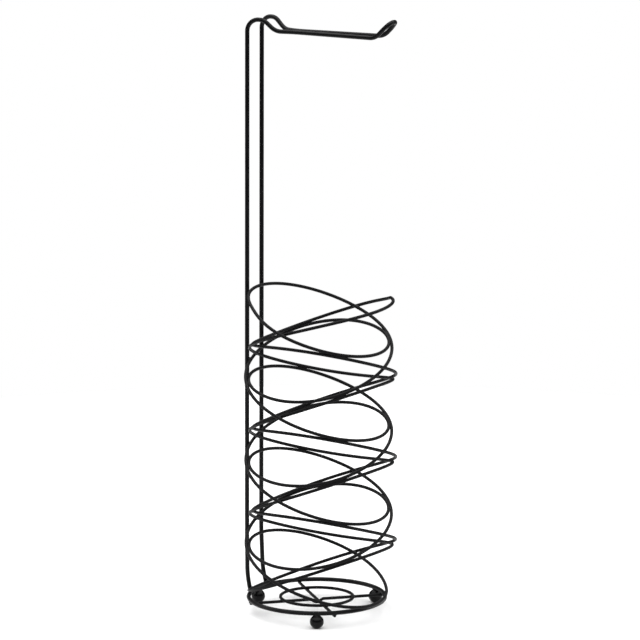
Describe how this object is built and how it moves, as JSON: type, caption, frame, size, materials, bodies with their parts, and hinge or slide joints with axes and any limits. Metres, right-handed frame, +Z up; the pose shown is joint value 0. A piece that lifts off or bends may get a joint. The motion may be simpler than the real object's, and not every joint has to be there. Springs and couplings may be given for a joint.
{
  "type": "free-standing toilet paper holder",
  "caption": "Free-standing black wire stand with a raised arm for the roll in use and a tall swirl wire basket for spare rolls, on a round base with ball feet.",
  "frame": {"origin": "middle of the footprint, on the floor that the ball feet stand on", "axes": "+Z up, +X along the arm from the posts to its raised end, +Y to the left"},
  "size_m": [0.17, 0.1566, 0.6281],
  "materials": {
    "stand_coat": "satin black powder coat on steel wire",
    "basket_coat": "satin black powder coat on thin steel wire",
    "ball_coat": "semi-gloss black coat on a turned ball"
  },
  "bodies": {
    "root": {"stand_wire_hairpin": "stand_coat", "base_ring": "stand_coat", "inner_ring": "basket_coat", "cross_wire_straight": "basket_coat", "cross_wire_joggled": "basket_coat", "basket_loop_rear": "basket_coat", "basket_loop_front": "basket_coat", "ball_foot_rear": "ball_coat", "ball_foot_left": "ball_coat", "ball_foot_right": "ball_coat"}
  },
  "joints": []
}
